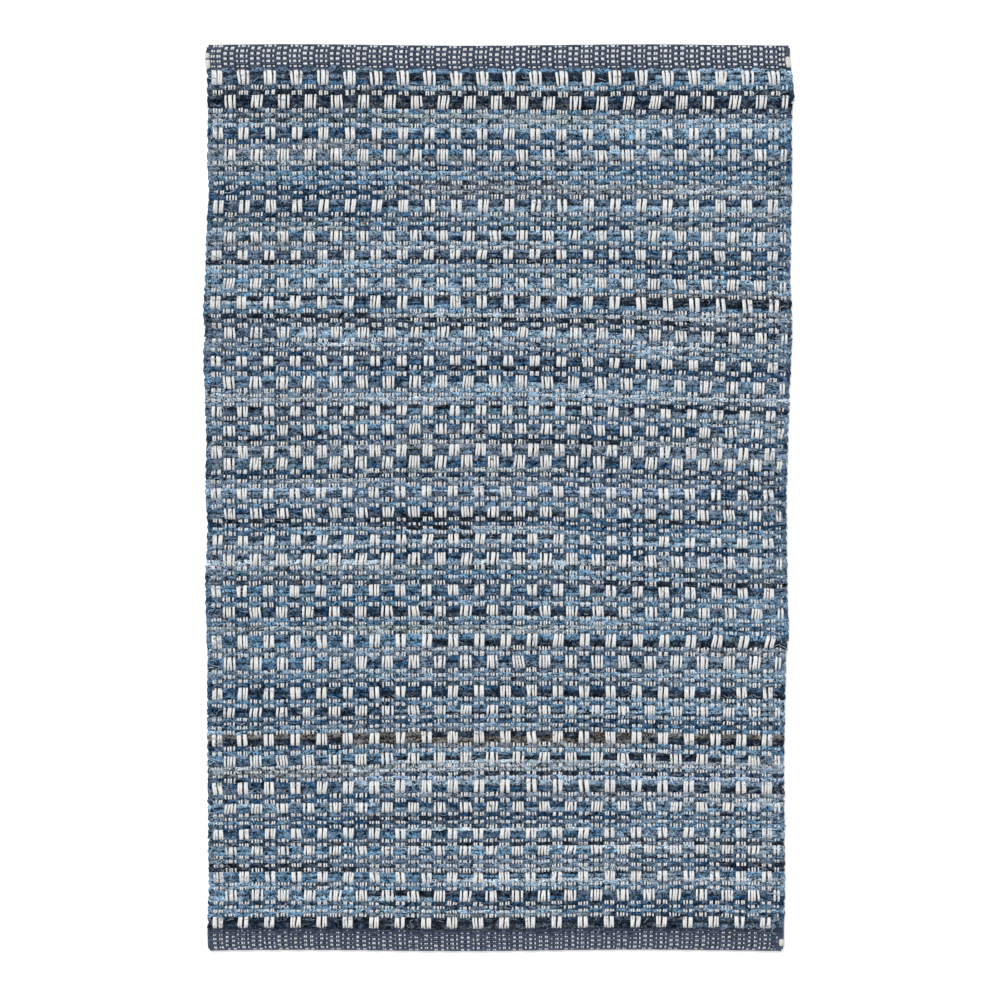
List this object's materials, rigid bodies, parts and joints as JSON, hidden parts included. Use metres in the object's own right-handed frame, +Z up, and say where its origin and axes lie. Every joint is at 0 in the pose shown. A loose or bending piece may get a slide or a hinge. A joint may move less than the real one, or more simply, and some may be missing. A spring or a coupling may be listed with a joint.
{
  "type": "handwoven cotton rug",
  "caption": "Small handwoven cotton rug lying flat: denim rag weft under white warp floats in checked rows, between two thin plain headings turned under as hems.",
  "frame": {"origin": "on the surface under the middle of the rug, at the bottom centre of its box", "axes": "+X along the weft, +Y along the warp towards the wider-beaten heading, +Z up out of the face that shows"},
  "size_m": [0.6047, 0.9285, 0.0069],
  "materials": {
    "rug_cloth": "coarse woven cotton, matt and fuzzy",
    "white_cotton": "soft undyed cotton warp yarn, matt",
    "slate_cotton": "dyed slate cotton yarn, matt",
    "denim_rag": "recycled denim rag yarn, speckled, matt and fuzzy"
  },
  "bodies": {
    "root": {"rug": "rug_cloth"}
  },
  "joints": []
}
